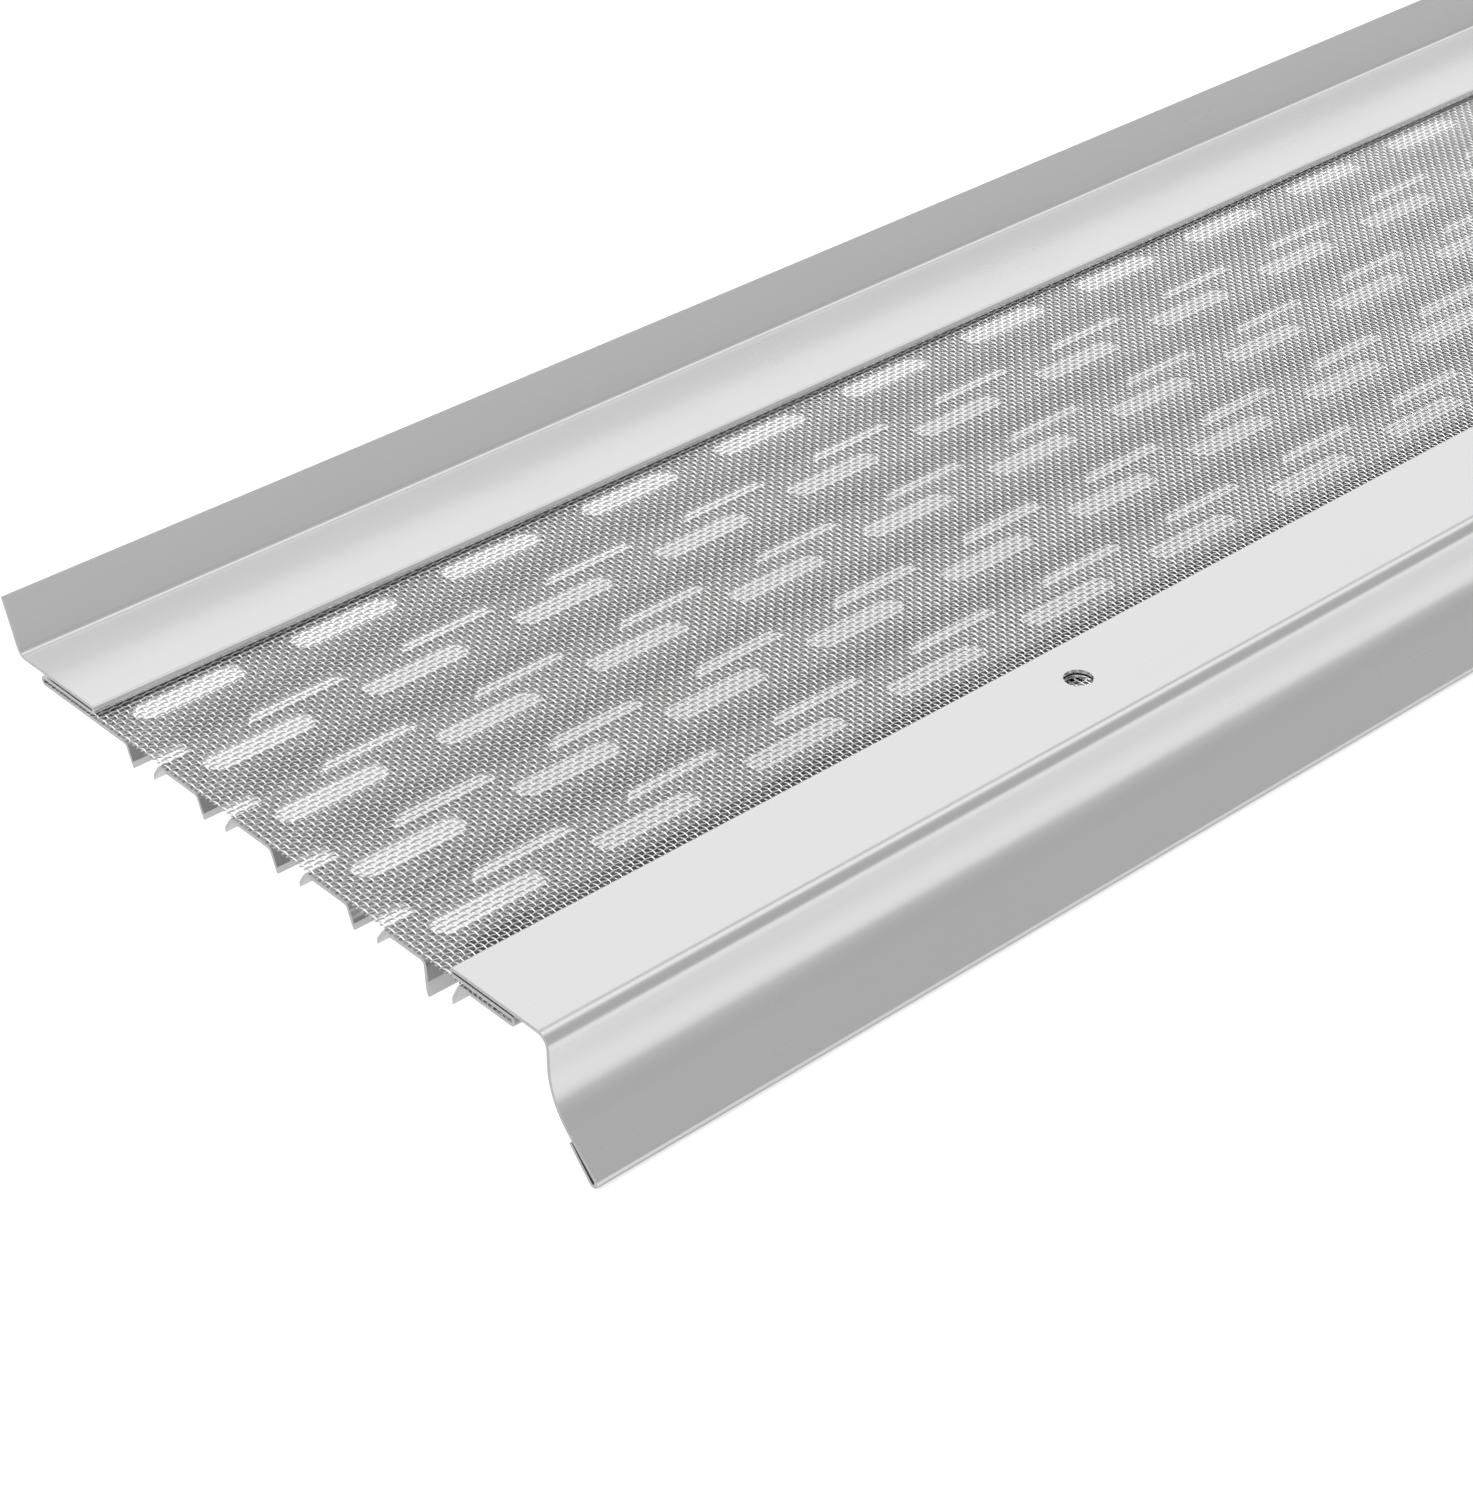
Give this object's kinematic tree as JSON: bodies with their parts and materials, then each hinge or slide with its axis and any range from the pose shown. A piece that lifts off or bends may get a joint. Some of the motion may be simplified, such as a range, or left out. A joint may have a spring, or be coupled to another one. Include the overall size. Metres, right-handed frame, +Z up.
{
  "type": "gutter guard",
  "caption": "Roll-formed gutter cover with a woven wire screen over a slotted, grooved sheet; it seats on the gutter's front lip and on the fascia.",
  "frame": {"origin": "middle of the length and of the depth, level with the lowest edge (the drip hem)", "axes": "+X along the length, +Y towards the roof (rear flange), +Z up, away from the gutter"},
  "size_m": [0.9144, 0.1432, 0.0306],
  "materials": {
    "formed_sheet": "satin mill finish",
    "wire_screen": "bright woven wire"
  },
  "bodies": {
    "root": {"guard_body": "formed_sheet", "mesh_screen": "wire_screen"}
  },
  "joints": []
}
